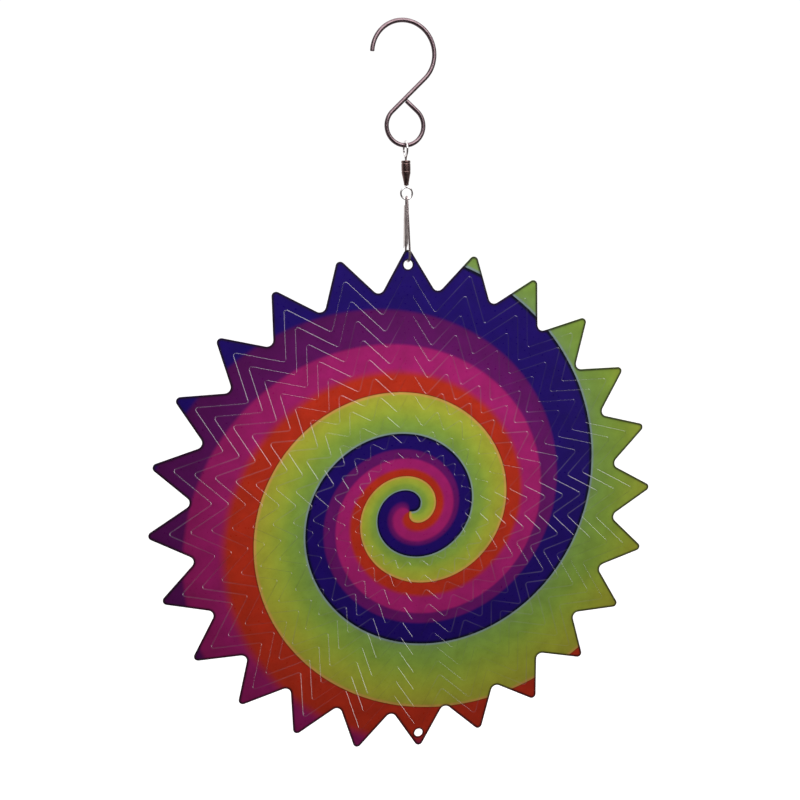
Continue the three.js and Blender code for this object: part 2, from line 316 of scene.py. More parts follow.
# The spiral's zones, going outward from each edge. A zone's inner edge lies where the angle,
# in turns, meets start + fall * ln r + curve * (ln r)^2, with upward and sideways leans.
SPIRAL_CENTRE = (-0.64, -4.1)
GREEN_EDGE = (3.348, -1.311, 0.048, 0.038, -0.003)
RED_EDGE = (3.10, -0.955, 0.0, 0.02, 0.028)
MAGENTA_EDGE = (3.187, -0.948, 0.0, 0.006, 0.019)
PURPLE_EDGE = (3.41, -0.956, 0.0, -0.003, 0.01)
NAVY_EDGE = (3.416, -0.929, 0.0, 0.026, -0.012)
MEAN_FALL = 0.88

# In the eye the turns open out, and the middle moves aside.
EYE_R = 21.7
EYE_SHIFT = (-1.8, 3.6)
EYE_SHIFT_REACH = 32.0
EYE_TURN = 0.37
EYE_TURN_GREEN = 0.51
SMALLEST_SQUARE = 0.01

GREEN_STOPS = [
    (0.0, linear(124, 154, 86)),
    (0.12, linear(126, 158, 70)),
    (0.36, linear(137, 165, 62)),
    (0.55, linear(156, 174, 60)),
    (0.78, linear(168, 174, 56)),
    (1.0, linear(170, 166, 56)),
]
RED = linear(182, 47, 25)
MAGENTA = linear(163, 31, 106)
PURPLE = linear(99, 19, 98)
NAVY = linear(29, 9, 100)
BLACK = (0, 0, 0, 1)
# Colour of the dark band along the outline and the hanging holes.
DARK_BAND = linear(26, 15, 22)
# Painted highlight: the pale colour laid on the print beside each slit.
SLIT_HIGHLIGHT = linear(208, 200, 214)

# The print darkens from the first radius out to the second, mm. Its depth is the share of
# light that it loses there.
DEEP_FROM, DEEP_TO = 92.0, 148.0
GREEN_DEPTH = 0.22

# The zones after the green: inner edge, ink, depth, the blur of the edge in turns, and how much
# more it blurs in the eye.
ZONES = (
    (RED_EDGE, RED, 0.14, 0.001, 0.0),
    (MAGENTA_EDGE, MAGENTA, 0.42, 0.06, 0.06),
    (PURPLE_EDGE, PURPLE, 0.46, 0.018, 0.1),
    (NAVY_EDGE, NAVY, 0.1, 0.018, 0.1),
)

# Lines printed along the two sharp edges: full up to the first distance, gone at the second, mm.
PALE_LINE = (0.6, 1.6, linear(132, 152, 150))
ORANGE_LINE = (0.7, 2.3, linear(204, 158, 78))
INDIGO_LINE = (0.7, 2.4, linear(6, 8, 30))
BROWN_LINE = (0.2, 1.0, linear(122, 44, 16))


def turns_past(nodes, edge, eye_turn, polar):
    """Turns outward since an edge was last crossed, from 0 to 1."""
    start, fall, curve, up_lean, side_lean = edge
    place = nodes.math("MULTIPLY_ADD", polar["log_r"], curve, fall)
    place = nodes.math("MULTIPLY_ADD", polar["log_r"], place, start)
    place = nodes.math("MULTIPLY_ADD", polar["up"], up_lean, place)
    place = nodes.math("MULTIPLY_ADD", polar["side"], side_lean, place)
    place = nodes.math("MULTIPLY_ADD", polar["eye"], eye_turn, place)
    return nodes.math("FRACT", nodes.math("SUBTRACT", polar["angle"], place))


def line_mask(nodes, turns, turn_mm, line):
    """1 along a printed line, fading to 0 away from its edge."""
    distance = nodes.math("MULTIPLY", turns, turn_mm)
    return nodes.remap(distance, line[0], line[1], 1.0, 0.0, smooth=True)


def squared_length(nodes, across, up):
    return nodes.math("MULTIPLY_ADD", across, across, nodes.math("MULTIPLY", up, up))


def disc_polar(nodes):
    """Place on the flat disc, and in mm the polar parts that the spiral's edges are made of."""
    place = nodes.add("ShaderNodeUVMap", uv_map="disc").outputs[0]
    split = nodes.add("ShaderNodeSeparateXYZ")
    nodes.put(split.inputs[0], place)
    across = nodes.math("MULTIPLY_ADD", split.outputs[0], 1 / MM, -SPIRAL_CENTRE[0])
    up = nodes.math("MULTIPLY_ADD", split.outputs[1], 1 / MM, -SPIRAL_CENTRE[1])
    fading = nodes.math("MULTIPLY", squared_length(nodes, across, up), -1 / EYE_SHIFT_REACH ** 2)
    shift = nodes.math("EXPONENT", fading)
    across = nodes.math("MULTIPLY_ADD", shift, -EYE_SHIFT[0], across)
    up = nodes.math("MULTIPLY_ADD", shift, -EYE_SHIFT[1], up)
    square = nodes.math("MAXIMUM", squared_length(nodes, across, up), SMALLEST_SQUARE)
    soft_square = nodes.math("ADD", square, EYE_R ** 2)
    soft_r = nodes.math("SQRT", soft_square)
    r = nodes.math("SQRT", square)
    # Turns per mm, round the eye and away from it.
    around = nodes.math("DIVIDE", 1 / (2 * math.pi), r)
    outward = nodes.math("DIVIDE", nodes.math("MULTIPLY", r, MEAN_FALL), soft_square)
    steepness = nodes.math("SQRT", squared_length(nodes, around, outward))
    return place, {
        "angle": nodes.math("DIVIDE", nodes.math("ARCTAN2", across, up), 2 * math.pi),
        "log_r": nodes.math("LOGARITHM", soft_r, math.e),
        "up": nodes.math("DIVIDE", up, soft_r),
        "side": nodes.math("DIVIDE", across, soft_r),
        "eye": nodes.math("DIVIDE", EYE_R ** 2, soft_square),
        "turn_mm": nodes.math("DIVIDE", 1.0, steepness),
    }


def deepened(nodes, ink, deep, depth):
    """An ink, darker towards the teeth."""
    return nodes.mix(nodes.math("MULTIPLY", deep, depth), ink, BLACK)


def spiral_colour(nodes):
    """The flat ink colours, with the printed lines that follow the two sharp edges."""
    place, polar = disc_polar(nodes)
    past_green = turns_past(nodes, GREEN_EDGE, EYE_TURN_GREEN, polar)
    past_red = turns_past(nodes, RED_EDGE, EYE_TURN, polar)
    before_red = nodes.math("SUBTRACT", 1.0, past_red)
    before_green = nodes.math("SUBTRACT", 1.0, past_green)

    wander = nodes.remap(nodes.noise(place, 28.0, 3.0, 0.6), 0.3, 0.7, -0.06, 0.06)
    share = nodes.math("DIVIDE", past_green, nodes.math("ADD", past_green, before_red))
    green = nodes.ramp(nodes.math("ADD", share, wander), GREEN_STOPS)
    turn_mm = polar["turn_mm"]
    for turns, line in ((past_green, PALE_LINE), (before_red, ORANGE_LINE)):
        green = nodes.mix(line_mask(nodes, turns, turn_mm, line), green, line[2])

    deep = nodes.remap(polar["log_r"], math.log(DEEP_FROM), math.log(DEEP_TO), 0.0, 1.0)
    colour, last = deepened(nodes, green, deep, GREEN_DEPTH), past_green
    for edge, ink, depth, blur, eye_blur in ZONES:
        past = turns_past(nodes, edge, EYE_TURN, polar)
        inside = nodes.math("LESS_THAN", past, last)
        whole = nodes.math("MULTIPLY_ADD", polar["eye"], eye_blur, blur)
        fade = nodes.remap(past, 0.0, whole, 0.0, 1.0, smooth=True)
        colour = nodes.mix(nodes.math("MULTIPLY", inside, fade), colour,
                           deepened(nodes, ink, deep, depth))
        last = nodes.math("MINIMUM", last, past)

    is_green = nodes.math("LESS_THAN", past_green, past_red)
    not_green = nodes.math("SUBTRACT", 1.0, is_green)
    for turns, line in ((before_green, INDIGO_LINE), (past_red, BROWN_LINE)):
        near = line_mask(nodes, turns, turn_mm, line)
        colour = nodes.mix(nodes.math("MULTIPLY", near, not_green), colour, line[2])
    return place, colour


def spiral_print():
    """Print on the sheet: mottled ink, a dark band along the outline, painted highlights beside
    the slits and uneven gloss.
    """
    material, nodes, shader = new_material("spiral_print")
    place, colour = spiral_colour(nodes)
    mottle = nodes.noise(place, 95.0, 4.0, 0.62)
    grey = nodes.add("ShaderNodeCombineColor")
    for socket in grey.inputs[:3]:
        nodes.put(socket, nodes.remap(mottle, 0.25, 0.75, 0.84, 1.14))
    colour = nodes.mix(1.0, colour, grey.outputs[0], "MULTIPLY")
    rim = nodes.add("ShaderNodeAttribute", attribute_name="rim").outputs["Fac"]
    # A dark band along the outline and the hanging holes, where the rim tint is positive.
    colour = nodes.mix(nodes.remap(rim, 0.0, 0.6, 0.0, 0.9), colour, DARK_BAND)
    # Painted highlight: a pale band beside each slit, with a strength that wanders.
    highlight_strength = nodes.remap(nodes.noise(place, 17.0, 2.0, 0.5), 0.42, 0.62, 0.02, 0.16)
    lip = nodes.math("MULTIPLY", nodes.remap(rim, -0.1, -1.0, 0.0, 1.0), highlight_strength)
    colour = nodes.mix(lip, colour, SLIT_HIGHLIGHT)
    nodes.put(shader.inputs["Base Color"], colour)

    fine = nodes.noise(place, 620.0, 3.0, 0.55)
    nodes.put(shader.inputs["Roughness"], nodes.remap(fine, 0.3, 0.7, 0.26, 0.4))
    shader.inputs["Specular IOR Level"].default_value = 0.22
    shader.inputs["Coat Weight"].default_value = 0.12
    shader.inputs["Coat Roughness"].default_value = 0.15
    height = nodes.math("MULTIPLY_ADD", fine, 0.08, nodes.noise(place, 40.0, 2.0, 0.5))
    nodes.put(shader.inputs["Normal"], nodes.bump(height, 0.35, 0.0006))
    return material


def inked_edge():
    """Cut edge of the sheet, stained by the ink that ran into the slits."""
    material, nodes, shader = new_material("inked_edge")
    _, colour = spiral_colour(nodes)
    at = nodes.add("ShaderNodeTexCoord").outputs["Object"]
    lines = nodes.noise(at, 2600.0, 2.0, 0.6)
    steel = nodes.mix(lines, linear(44, 32, 38), linear(78, 64, 68))
    nodes.put(shader.inputs["Base Color"],
              nodes.mix(nodes.remap(lines, 0.3, 0.7, 0.6, 0.9), steel, colour))
    nodes.put(shader.inputs["Roughness"], nodes.remap(lines, 0.3, 0.7, 0.5, 0.7))
    shader.inputs["Specular IOR Level"].default_value = 0.1
    nodes.put(shader.inputs["Normal"], nodes.bump(lines, 0.3, 0.00003))
    return material


# ------------------------------------------------------------------ mesh helpers

def place_mesh(name, mesh, sharp_angle):
    """Shades a mesh smooth but for its sharp edges, and puts it in the scene."""
    for face in mesh.polygons:
        face.use_smooth = True
    mesh.set_sharp_from_angle(angle=math.radians(sharp_angle))
    piece = bpy.data.objects.new(name, mesh)
    bpy.context.scene.collection.objects.link(piece)
    return piece


def finish_mesh(name, bm, materials, sharp_angle=SHARP_ANGLE):
    """Turns a millimetre bmesh into a metre object."""
    bmesh.ops.remove_doubles(bm, verts=bm.verts, dist=1e-4)
    bmesh.ops.recalc_face_normals(bm, faces=bm.faces)
    bmesh.ops.scale(bm, vec=(MM, MM, MM), verts=bm.verts)
    mesh = bpy.data.meshes.new(name)
    bm.to_mesh(mesh)
    bm.free()
    for material in materials:
        mesh.materials.append(material)
    return place_mesh(name, mesh, sharp_angle)


def bridge(bm, first, second, material=0):
    """Quads between two closed rows of vertices with the same count."""
    for i in range(len(first)):
        j = (i + 1) % len(first)
        face = bm.faces.new((first[i], first[j], second[j], second[i]))
        face.material_index = material


def arc(u, v, radius, start, end, every=2.0):
    """Points of an arc in a plane, with angles in degrees from the first axis."""
    count = max(2, math.ceil(abs(end - start) / every))
    points = []
    for i in range(count + 1):
        a = math.radians(start + (end - start) * i / count)
        points.append((u + radius * math.cos(a), v + radius * math.sin(a)))
    return points


def sweep(bm, path, radius, across, closed=False, end_round=0.0, sides=WIRE_SIDES):
    """Round wire along a flat path. across is the plane's normal."""
    path = [Vector(p) for p in path]
    across = Vector(across)
    count = len(path)
    stations = []
    for i, point in enumerate(path):
        before = path[(i - 1) % count] if closed or i > 0 else point
        after = path[(i + 1) % count] if closed or i < count - 1 else point
        stations.append((point, (after - before).normalized(), radius))
    if end_round and not closed:
        stations = rounded_ends(stations, radius, end_round)
    rows = []
    for point, along, size in stations:
        side = along.cross(across).normalized()
        row = []
        for j in range(sides):
            a = 2 * math.pi * j / sides
            row.append(bm.verts.new(point + size * (math.cos(a) * across + math.sin(a) * side)))
        rows.append(row)
    for i in range(len(rows) - 1):
        bridge(bm, rows[i], rows[i + 1])
    if closed:
        bridge(bm, rows[-1], rows[0])
    else:
        bm.faces.new(rows[0])
        bm.faces.new(list(reversed(rows[-1])))


def rounded_ends(stations, radius, amount):
    """Replaces each blunt end by a few shrinking stations."""
    steps = 4

    def cap(point, inward):
        made = []
        for i in range(steps):
            a = math.pi / 2 * i / steps
            size = radius - amount * (1 - math.sin(a))
            made.append((point + inward * amount * (1 - math.cos(a)), inward, size))
        return made

    first, last = stations[0], stations[-1]
    head = cap(first[0], first[1])
    tail = [(p, -d, s) for p, d, s in reversed(cap(last[0], -last[1]))]
    start = (first[0] + first[1] * amount, first[1], radius)
    stop = (last[0] - last[1] * amount, last[1], radius)
    return head + [start] + stations[1:-1] + [stop] + tail


def lathe(bm, profile, segments, closed):
    """A turned solid about Z from (radius, z) pairs."""
    rows = []
    for r, z in profile:
        if r < 1e-6:
            rows.append([bm.verts.new((0, 0, z))])
            continue
        row = []
        for i in range(segments):
            a = 2 * math.pi * i / segments
            row.append(bm.verts.new((r * math.cos(a), r * math.sin(a), z)))
        rows.append(row)
    pairs = list(zip(rows, rows[1:]))
    if closed:
        pairs.append((rows[-1], rows[0]))
    for first, second in pairs:
        if len(first) == 1 and len(second) == 1:
            continue
        if len(first) == 1 or len(second) == 1:
            point, row = (first[0], second) if len(first) == 1 else (second[0], first)
            for i in range(segments):
                bm.faces.new((point, row[i], row[(i + 1) % segments]))
        else:
            bridge(bm, first, second)


def rounded_profile(corners, steps=4):
    """Rounds the corners of a profile given as (r, z, rounding)."""
    points = []
    count = len(corners)
    for i, (r, z, size) in enumerate(corners):
        here = Vector((r, z))
        if size <= 0:
            points.append(tuple(here))
            continue
        before = (Vector(corners[i - 1][:2]) - here).normalized()
        after = (Vector(corners[(i + 1) % count][:2]) - here).normalized()
        start, end = here + before * size, here + after * size
        for k in range(steps + 1):
            t = k / steps
            points.append(tuple((1 - t) ** 2 * start + 2 * t * (1 - t) * here + t ** 2 * end))
    return points


def joined_solid(name, parts, material):
    """One closed solid from overlapping closed parts."""
    base = parts[0]
    for part in parts[1:]:
        cut = base.modifiers.new("join", "BOOLEAN")
        cut.operation = "UNION"
        cut.solver = "EXACT"
        cut.object = part
    graph = bpy.context.evaluated_depsgraph_get()
    mesh = bpy.data.meshes.new_from_object(base.evaluated_get(graph))
    for part in parts:
        bpy.data.objects.remove(part)
    mesh.name = name
    mesh.materials.clear()
    mesh.materials.append(material)
    for face in mesh.polygons:
        face.material_index = 0
    return place_mesh(name, mesh, SHARP_ANGLE)


def settle(piece, body, node):
    """Puts a piece on its body, and in place of a CAD node."""
    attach(piece, body)
    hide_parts(node)


# ------------------------------------------------------------------ S-hook

def make_hook(material):
    """Upper hook, crossing shank and closed lower loop, in one bent wire."""
    upper_z = -(HOOK_UPPER_R - HOOK_WIRE / 2)
    lower_z = upper_z - HOOK_CENTRES
    slope = math.asin((HOOK_UPPER_R + HOOK_LOWER_R) / HOOK_CENTRES)
    degrees = math.degrees(slope)
    crossing_z = upper_z - HOOK_UPPER_R / math.sin(slope)
    end_reach = HOOK_WIRE / 2 + HOOK_END_GAP
    flat = arc(0, upper_z, HOOK_UPPER_R, HOOK_TIP_ANGLE, -degrees)
    flat += arc(0, lower_z, HOOK_LOWER_R, 180 - degrees, 360 + degrees)
    flat.append((end_reach * math.sin(slope), crossing_z - end_reach * math.cos(slope)))
    bm = bmesh.new()
    sweep(bm, [(x, 0, z) for x, z in flat], HOOK_WIRE / 2, (0, 1, 0), end_round=HOOK_END_ROUND)
    settle(finish_mesh("hook_wire", bm, [material]), "hook", "s_hook")


# ------------------------------------------------------------------ swivel

def eye_ring(radius, wire, centre_z, normal, material):
    """A closed ring of round wire that faces along x or y."""
    path = []
    for i in range(EYE_STEPS):
        a = 2 * math.pi * i / EYE_STEPS
        u, v = radius * math.cos(a), radius * math.sin(a)
        path.append((u, 0, centre_z + v) if normal == "y" else (0, u, centre_z + v))
    across = (0, 1, 0) if normal == "y" else (1, 0, 0)
    bm = bmesh.new()
    sweep(bm, path, wire / 2, across, closed=True, sides=EYE_SIDES)
    return finish_mesh("ring", bm, [material])


def turned_piece(name, profile, material, segments=48, closed=False):
    bm = bmesh.new()
    lathe(bm, profile, segments, closed)
    return finish_mesh(name, bm, [material])


# Weld between an eye and its stem: how far it stands out, how far it lies along the stem, and
# its rounding, mm.
UPPER_WELD = ((0.22, 0.1, 0), (0.2, 0.55, 0.12), (0, 1.25, 0.3))
LOWER_WELD = ((0.16, 0.1, 0), (0.12, 0.5, 0.1), (0, 0.85, 0.1))


def headed_stem(stem_r, ring_z, weld, head_z, head_r, head_end_z, rounding, material):
    """Stem of an eye, from the weld at its ring to the head that holds it in the barrel."""
    toward_head = math.copysign(1, head_z - ring_z)
    profile = [(0, ring_z, 0)]
    profile += [(stem_r + out, ring_z + toward_head * along, size) for out, along, size in weld]
    profile += [(stem_r, head_z, 0), (head_r, head_z, rounding), (head_r, head_end_z, rounding),
                (0, head_end_z, 0)]
    return turned_piece("stem", rounded_profile(profile), material)


def make_swivel(eye_metal, barrel_metal):
    """Two wire eyes, whose headed stems turn in the barrel."""
    stem_r = UPPER_EYE_WIRE / 2
    bore_r = BARREL_R - BARREL_WALL
    head_r = bore_r - LINK_GAP
    head_z = BARREL_TOP_Z - BARREL_CAP - BALL_CLEARANCE
    ring = eye_ring(UPPER_EYE_R, UPPER_EYE_WIRE, UPPER_EYE_Z, "x", eye_metal)
    stem = headed_stem(stem_r, UPPER_EYE_Z - UPPER_EYE_R, UPPER_WELD, head_z, head_r,
                       head_z - HEAD_THICKNESS, 0.12, eye_metal)
    upper = joined_solid("swivel_eye_upper", [ring, stem], eye_metal)
    settle(upper, "swivel_eye", "swivel_upper_eye")

    lower_stem_r = LOWER_EYE_WIRE / 2
    held_z = BARREL_FOOT_Z + RETAINER_RISE
    ring = eye_ring(LOWER_EYE_R, LOWER_EYE_WIRE, LOWER_EYE_Z, "y", eye_metal)
    stem = headed_stem(lower_stem_r, LOWER_EYE_Z + LOWER_EYE_R, LOWER_WELD, held_z, RETAINER_R,
                       held_z + RETAINER_THICKNESS, 0.1, eye_metal)
    lower = joined_solid("swivel_eye_lower", [ring, stem], eye_metal)
    settle(lower, "swivel", "swivel_lower_eye")
    make_barrel(barrel_metal, stem_r, lower_stem_r, bore_r)


def make_balls(material):
    """Bearing balls between the barrel's cap and the upper eye's head."""
    for number in range(1, BALL_COUNT + 1):
        low, high = (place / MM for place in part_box(f"bearing_ball_{number}"))
        centre = (low + high) / 2
        radius = (high.z - low.z) / 2
        bm = bmesh.new()
        profile = [(radius * math.sin(math.pi * i / BALL_STEPS),
                    -radius * math.cos(math.pi * i / BALL_STEPS)) for i in range(1, BALL_STEPS)]
        lathe(bm, [(0, -radius)] + profile + [(0, radius)], BALL_SIDES, closed=False)
        bmesh.ops.translate(bm, vec=centre, verts=bm.verts)
        ball = finish_mesh(f"race_ball_{number}", bm, [material])
        settle(ball, "bearing_balls", f"bearing_ball_{number}")


# How far down the barrel its shoulder and its crimped grooves lie, and the grooves' size, mm.
SHOULDER_DROP = 6.7
GROOVE_DROPS = (5.6, 1.5)
GROOVE_HALF = 0.28
GROOVE_FLOOR_HALF = 0.1
GROOVE_DEPTH = 0.16

# The cone under the shoulder, and the bead and waist over its foot, mm.
CONE_DROP = 2.2
CONE_INSET = 0.55
WAIST_RISE = 0.9
WAIST_STAND = 0.06
BEAD_RISE = 0.45
BEAD_STAND = 0.1


def make_barrel(material, stem_r, lower_stem_r, bore_r):
    """Swaged barrel: rolled cap, two crimp grooves, shoulder, waisted cone and foot bead."""
    top, foot = BARREL_TOP_Z, BARREL_FOOT_Z
    shoulder = top - SHOULDER_DROP
    cap_hole = stem_r + LINK_GAP
    foot_bore = lower_stem_r + LINK_GAP
    outside = [(BARREL_R - 0.06, shoulder, 0.5)]
    for drop in GROOVE_DROPS:
        middle = top - drop
        outside += [
            (BARREL_R, middle - GROOVE_HALF, 0.08),
            (BARREL_R - GROOVE_DEPTH, middle - GROOVE_FLOOR_HALF, 0.06),
            (BARREL_R - GROOVE_DEPTH, middle + GROOVE_FLOOR_HALF, 0.06),
            (BARREL_R, middle + GROOVE_HALF, 0.08),
        ]
    profile = rounded_profile([
        (cap_hole, top - BARREL_CAP, 0.05),
        (bore_r, top - BARREL_CAP, 0.05),
        (bore_r, shoulder, 0.2),
        (foot_bore, foot, 0.04),
        (foot_bore + BARREL_WALL, foot, 0.12),
        (foot_bore + BARREL_WALL + BEAD_STAND, foot + BEAD_RISE, 0.14),
        (foot_bore + BARREL_WALL + WAIST_STAND, foot + WAIST_RISE, 0.14),
        (BARREL_R - CONE_INSET, shoulder - CONE_DROP, 0.8),
        *outside,
        (BARREL_R, top, 0.42),
        (cap_hole, top, 0.08),
    ])
    piece = turned_piece("barrel_shell", profile, material, 64, closed=True)
    settle(piece, "swivel", "swivel_barrel")


# ------------------------------------------------------------------ snap

SNAP_BEND_R = LOWER_EYE_WIRE / 2 + LINK_GAP + SNAP_WIRE / 2
BOW_BOTTOM_Z = SNAP_PIVOT_Z - SNAP_LENGTH
BOW_Z = BOW_BOTTOM_Z + BOW_R
LEG_TILT = math.asin((BOW_R - SNAP_BEND_R) / (SNAP_PIVOT_Z - BOW_Z))
BOW_END_DROP = SNAP_PIVOT_Z - BOW_Z - BOW_R * math.sin(LEG_TILT)

# The frame's wire stops this far before the end of the bow, and the gate's starts, degrees.
FRAME_STOP = 12
GATE_START = 14
GATE_STEPS = 12

CLASP_BEND = 0.45
CLASP_BEND_ANGLES = (0.26, 0.52, 0.79, 1.05, 1.31)
CLASP_STEPS = 40
CLASP_EASE = 0.05


def leg_y(side, drop):
    return side * (SNAP_BEND_R / math.cos(LEG_TILT) + drop * math.tan(LEG_TILT))


def on_leg(side, drop):
    return leg_y(side, drop), SNAP_PIVOT_Z - drop


def make_snap_wire(material):
    """The bent frame, and the springy back leg that carries on from its bow."""
    tilt = math.degrees(LEG_TILT)
    flat = [on_leg(1, TAIL_LENGTH), on_leg(1, TAIL_LENGTH - 0.05)]
    flat += arc(0, SNAP_PIVOT_Z, SNAP_BEND_R, tilt, 180 - tilt, 5.0)
    flat += arc(0, BOW_Z, BOW_R, 180 - tilt, 360 + tilt - FRAME_STOP, 3.0)
    bm = bmesh.new()
    sweep(bm, [(0, y, z) for y, z in flat], SNAP_WIRE / 2, (1, 0, 0), end_round=SNAP_END_ROUND)
    settle(finish_mesh("snap_wire_frame", bm, [material]), "snap", "snap_frame")

    flat = arc(0, BOW_Z, BOW_R, 360 + tilt - GATE_START, 360 + tilt, 2.0)
    tip_drop = TAIL_LENGTH + GATE_TIP_GAP
    flat += [on_leg(1, BOW_END_DROP + (tip_drop - BOW_END_DROP) * i / GATE_STEPS)
             for i in range(1, GATE_STEPS + 1)]
    bm = bmesh.new()
    sweep(bm, [(0, y, z) for y, z in flat], SNAP_WIRE / 2, (1, 0, 0), end_round=SNAP_END_ROUND)
    gate = finish_mesh("snap_wire_gate", bm, [material])
    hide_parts("snap_gate")
    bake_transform(gate)


def clasp_section(hw, front, back, sheet):
    """Outline of the folded sheet: (x, place from the front to the back), mm."""
    bend = CLASP_BEND
    outer = [(-hw, back), (-hw, front + bend)]
    outer += [(-hw + bend - bend * math.cos(a), front + bend - bend * math.sin(a))
              for a in CLASP_BEND_ANGLES]
    outer += [(-hw + bend, front), (hw - bend, front)]
    outer += [(hw - bend + bend * math.sin(a), front + bend - bend * math.cos(a))
              for a in CLASP_BEND_ANGLES]
    outer += [(hw, front + bend), (hw, back)]
    inner_bend = bend - sheet
    ihw, ifront = hw - sheet, front + sheet
    inner = [(ihw, back), (ihw, ifront + inner_bend), (ihw - 0.06, ifront + 0.06),
             (ihw - inner_bend, ifront), (-ihw + inner_bend, ifront),
             (-ihw + 0.06, ifront + 0.06), (-ihw, ifront + inner_bend), (-ihw, back)]
    return outer + inner


def make_clasp(material):
    """Folded sheet clasp: open at the back, its foot cut on a slant, both ends eased."""
    top_back = leg_y(1, CLASP_DROP) + CLASP_TOP_REACH
    foot_drop = CLASP_DROP + CLASP_LENGTH
    foot_back = leg_y(1, foot_drop) + CLASP_FOOT_REACH
    top_front, foot_front = top_back - CLASP_TOP_WIDTH, foot_back - CLASP_FOOT_WIDTH
    half = CLASP_INSIDE / 2 + CLASP_SHEET
    bm = bmesh.new()
    rows = []
    for i in range(CLASP_STEPS + 1):
        t = i / CLASP_STEPS
        front = top_front + (foot_front - top_front) * t
        back = top_back + (foot_back - top_back) * t
        trim = CLASP_EASE if i in (0, CLASP_STEPS) else 0.0
        row = []
        for x, y in clasp_section(half - trim, front + trim, back - trim, CLASP_SHEET - trim):
            share = (y - front) / (back - front)
            foot = foot_drop - CLASP_SLANT * (1 - share)
            drop = CLASP_DROP + (foot - CLASP_DROP) * t
            row.append(bm.verts.new((x, y, SNAP_PIVOT_Z - drop)))
        rows.append(row)
    for first, second in zip(rows, rows[1:]):
        bridge(bm, first, second)
    for row in (rows[0], rows[-1]):
        close_section(bm, row)
    settle(finish_mesh("clasp_fold", bm, [material]), "snap", "snap_clasp")


def close_section(bm, row):
    """Caps the thin folded section with an even strip of faces."""
    edges = [bm.edges.get((row[i], row[(i + 1) % len(row)])) for i in range(len(row))]
    bmesh.ops.triangle_fill(bm, use_beauty=True, use_dissolve=False, edges=edges)


# ------------------------------------------------------------------ disc

def slit_tip_r(index):
    return SHARP_TIP_R - RIM_WIDTH - RING_WIDTH * index


def slit_fillet(index):
    flank = slit_tip_r(index) * math.sin(STEP) / math.sin(VALLEY_HALF)
    room = flank / (1 / math.tan(TIP_HALF) + 1 / math.tan(VALLEY_HALF))
    return min(SLIT_FILLET, FILLET_SHARE * room)


def neck_z(index):
    return slit_tip_r(index) - NECK_WIDTH / 2 / math.tan(TIP_HALF)


def corner(corner_r, angle, half, fillet, sign):
    """A rounded corner on the ray at an angle from the top. sign is 1 at a tip, -1 in a valley."""
    fillet = max(fillet, SMALLEST_FILLET)
    centre_r = corner_r - sign * fillet / math.sin(half)
    spread = math.pi / 2 - half
    facing = angle if sign > 0 else angle + math.pi
    points = []
    for i in range(CORNER_STEPS + 1):
        a = facing + sign * spread * (2 * i / CORNER_STEPS - 1)
        points.append((centre_r * math.sin(angle) + fillet * math.sin(a),
                       centre_r * math.cos(angle) + fillet * math.cos(a)))
    return points


def star_loop(edge, offset=0.0):
    """Points (x, z) of a zigzag edge, moved outward by offset. Every loop has the same count."""
    tip_r, tip_fillet, valley_fillet, flat = edge
    tip_r += offset / math.sin(TIP_HALF)
    points = []
    for i in range(TOOTH_COUNT):
        angle = 2 * STEP * i
        if flat is not None and i % (TOOTH_COUNT // 2) == 0:
            up = 1 if i == 0 else -1
            z = flat + offset
            half = (tip_r - z) * math.tan(TIP_HALF)
            points += [(up * half * (2 * k / CORNER_STEPS - 1), up * z)
                       for k in range(CORNER_STEPS + 1)]
        else:
            points += corner(tip_r, angle, TIP_HALF, tip_fillet + offset, 1)
        points += corner(tip_r * VALLEY_RATIO, angle + STEP, VALLEY_HALF,
                         valley_fillet - offset, -1)
    return points


def slit_edge(index, side, reach=0.0):
    """Outer (1) or inner (-1) edge of a slit. reach lowers the flat that a neck meets."""
    return (slit_tip_r(index) + side * SLIT_SHIFT,
            slit_fillet(index) + side * SLIT_WIDTH / 2,
            slit_fillet(index) - side * SLIT_WIDTH / 2,
            neck_z(index) + side * SLIT_WIDTH / 2 - reach)


# Tint of the print beside an edge: 1 for the dark band along the outline and holes, and -1
# for the painted highlight beside a slit. The lip's tint is that of half a turn, from one neck
# to the next, and leaves out the neck.
NO_TINT = (0.0,)
DARK_BAND_TINT = (1.0,)
SLIT_HIGHLIGHT_TINT = (0.0,) * (CORNER_STEPS + 1) + (-1.0,) * (CORNER_STEPS + 1) * (TOOTH_COUNT - 1)


class SheetBuilder:
    """Collects the loops of one piece of sheet and closes them into a bevelled solid."""

    def __init__(self):
        self.bm = bmesh.new()
        self.rim = self.bm.verts.layers.float.new("rim")

    def loop(self, points, y, tint=NO_TINT):
        """A row of vertices. tint is given for each point in turn, and repeats."""
        row = []
        for i, (x, z) in enumerate(points):
            vert = self.bm.verts.new((x, y, DISC_Z + z))
            vert[self.rim] = tint[i % len(tint)]
            row.append(vert)
        return row

    def edge(self, shape, inward, band, tint):
        """Side wall with two bevels, and a band of tint that fades out on both faces.

        shape gives the points at an offset, and inward is the sign that leads into the sheet.
        Gives the front and back rows that the faces start from.
        """
        half = SHEET / 2
        inset = shape(inward * EDGE_BEVEL)
        rows = [self.loop(shape(inward * band), -half)]
        rows += [self.loop(points, y, tint) for points, y in (
            (inset, -half), (shape(0), -half + EDGE_BEVEL),
            (shape(0), half - EDGE_BEVEL), (inset, half))]
        rows.append(self.loop(shape(inward * band), half))
        for first, second, material in zip(rows, rows[1:], (0, 1, 1, 1, 0)):
            bridge(self.bm, first, second, material)
        return rows[0], rows[-1]

    def slit(self, edge, inward):
        return self.edge(lambda offset: star_loop(edge, offset), inward, LIP_BAND, SLIT_HIGHLIGHT_TINT)

    def fill(self, rows):
        edges = []
        for row in rows:
            for i, vert in enumerate(row):
                other = row[(i + 1) % len(row)]
                edges.append(self.bm.edges.get((vert, other)) or self.bm.edges.new((vert, other)))
        bmesh.ops.triangle_fill(self.bm, use_beauty=True, use_dissolve=False, edges=edges)

    def done(self, name, materials):
        piece = finish_mesh(name, self.bm, materials, SHEET_SHARP_ANGLE)
        give_disc_map(piece)
        return piece


